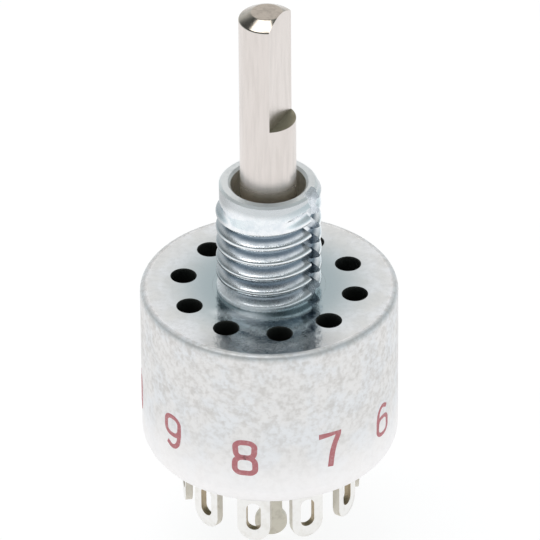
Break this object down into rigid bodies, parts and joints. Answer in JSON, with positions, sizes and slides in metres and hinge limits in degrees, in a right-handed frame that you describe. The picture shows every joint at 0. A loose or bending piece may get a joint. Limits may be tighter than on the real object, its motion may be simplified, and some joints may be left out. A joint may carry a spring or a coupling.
{
  "type": "rotary switch",
  "caption": "Sealed panel rotary switch: round can with stop holes in its front face, threaded bushing with a keyway, flatted shaft and a ring of solder lugs.",
  "frame": {"origin": "centre of the bushing in the plane of the front mounting face", "axes": "+Z along the shaft, out through the panel; the keyway and the shaft's flat face between +X and -Y"},
  "size_m": [0.0146, 0.0146, 0.0354],
  "materials": {
    "can": "satin plated",
    "bushing": "bright bluish plating",
    "shaft": "fine turned",
    "spring_steel": "bright",
    "seal": "matte",
    "bronze": "bright",
    "rotor_plastic": "matte",
    "base_plastic": "matte",
    "lug": "silver plated"
  },
  "bodies": {
    "case": {"housing": "can", "mounting_bushing": "bushing", "detent_ring": "spring_steel", "terminal_base": "base_plastic", "common_terminal": "lug", "terminal_1": "lug", "terminal_2": "lug", "terminal_3": "lug", "terminal_4": "lug", "terminal_5": "lug", "terminal_6": "lug", "terminal_7": "lug", "terminal_8": "lug", "terminal_9": "lug", "terminal_10": "lug"},
    "rotor": {"shaft": "shaft", "shaft_seal": "seal", "thrust_washer": "bronze", "retaining_ring": "spring_steel", "stop_arm": "spring_steel", "detent_rotor": "rotor_plastic", "detent_spring_a": "spring_steel", "detent_spring_b": "spring_steel", "detent_ball_a": "spring_steel", "detent_ball_b": "spring_steel", "contact_rotor": "rotor_plastic", "wiper_contact": "bronze", "contact_spring": "spring_steel"}
  },
  "joints": [
    {"name": "shaft_turn", "type": "hinge", "parent": "case", "child": "rotor", "pos_m": [0, 0, 0], "axis": [0, 0, 1], "continuous": true}
  ]
}
